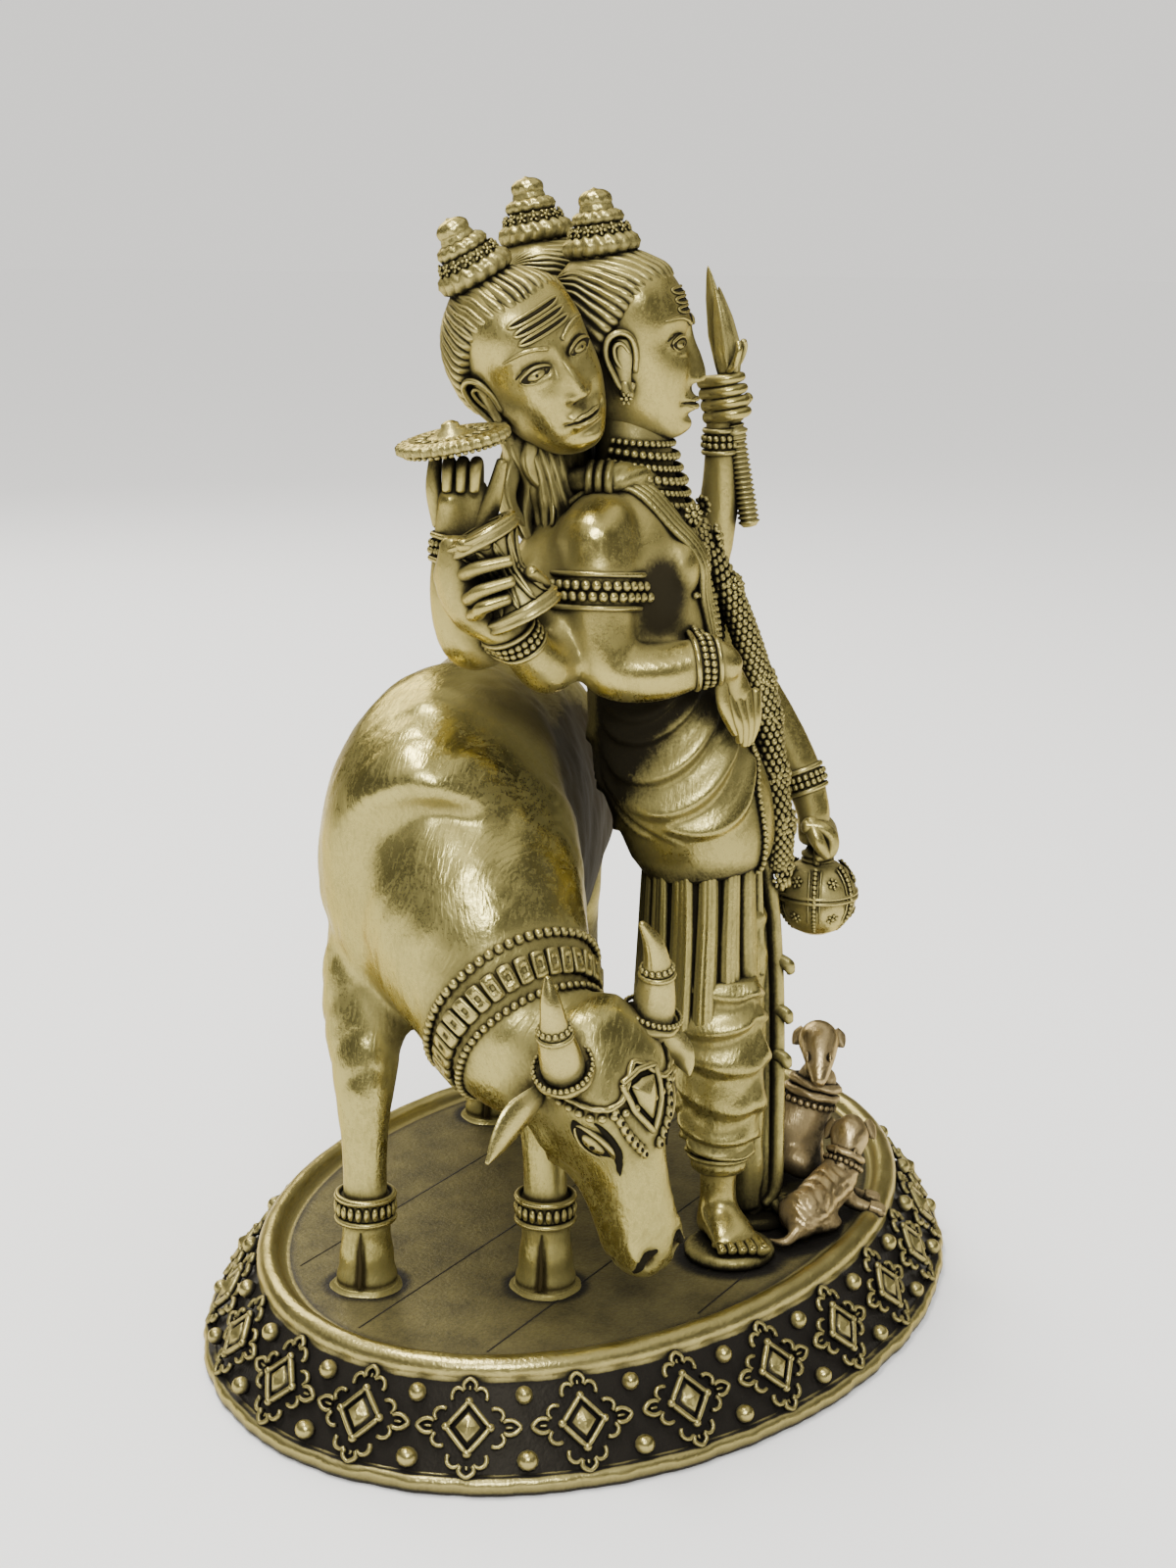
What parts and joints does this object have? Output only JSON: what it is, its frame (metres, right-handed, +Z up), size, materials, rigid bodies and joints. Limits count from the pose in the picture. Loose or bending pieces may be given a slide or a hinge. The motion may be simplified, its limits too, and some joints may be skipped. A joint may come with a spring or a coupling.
{
  "type": "dattatreya statue",
  "caption": "A small cast antique-brass dattatreya statue: a three-headed, six-armed standing deity leaning on a cow, with dogs at the feet, on an oval base with a rosette band.",
  "frame": {"origin": "centre of the flat underside of the oval base", "axes": "+Z up; X along the base's long axis, with the deity facing -Y and turned 17 degrees towards +X"},
  "size_m": [0.088, 0.064, 0.1008],
  "materials": {
    "dark_brass": "antique cast brass with near-black recesses and a bright worn rim",
    "antique_brass": "polished antique brass with dark recesses",
    "brass_fur": "antique brass with shaggy tooling and a pinkish braze"
  },
  "bodies": {
    "root": {"base": "dark_brass", "cow": "antique_brass", "deity": "antique_brass", "seated_dog": "brass_fur", "lying_dog": "brass_fur"}
  },
  "joints": []
}
